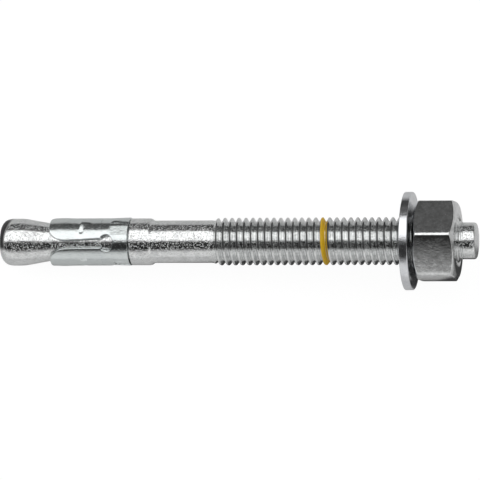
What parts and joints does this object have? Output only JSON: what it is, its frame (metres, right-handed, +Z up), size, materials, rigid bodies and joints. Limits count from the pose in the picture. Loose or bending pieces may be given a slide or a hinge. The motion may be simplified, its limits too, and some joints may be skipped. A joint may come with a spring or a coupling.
{
  "type": "wedge anchor",
  "caption": "Threaded wedge anchor: cone-ended bolt with a slotted expansion clip on its neck, a flat washer and a hexagon nut.",
  "frame": {"origin": "middle of the washer's bearing face, on the bolt's axis", "axes": "+X along the bolt towards the nut end, -X towards the cone end, +Z up as the anchor lies"},
  "size_m": [0.1195, 0.0242, 0.0242],
  "materials": {
    "bolt_zinc": "zinc plated, bright, slightly rough from forging and rolling",
    "clip_zinc": "zinc plated sheet, smooth, faintly blue",
    "washer_zinc": "zinc plated, satin",
    "nut_zinc": "zinc plated, smooth flats"
  },
  "bodies": {
    "bolt": {"anchor_bolt": "bolt_zinc"},
    "clip": {"expansion_clip": "clip_zinc"},
    "washer": {"flat_washer": "washer_zinc"},
    "nut": {"hex_nut": "nut_zinc"}
  },
  "joints": [
    {"name": "clip_spin", "type": "hinge", "parent": "bolt", "child": "clip", "pos_m": [-0.0788, 0, 0], "axis": [1, 0, 0], "continuous": true},
    {"name": "washer_slide", "type": "slide", "parent": "bolt", "child": "washer", "axis": [-1, 0, 0], "range_m": [-0.0111, 0.0468]},
    {"name": "nut_turn", "type": "hinge", "parent": "washer", "child": "nut", "pos_m": [0.008, 0, 0], "axis": [-1, 0, 0], "range_deg": [-2284, 9628]}
  ],
  "couplings": [
    {"joint": "nut_turn", "follows": "washer_slide", "rad_per_m": 3590.4}
  ]
}
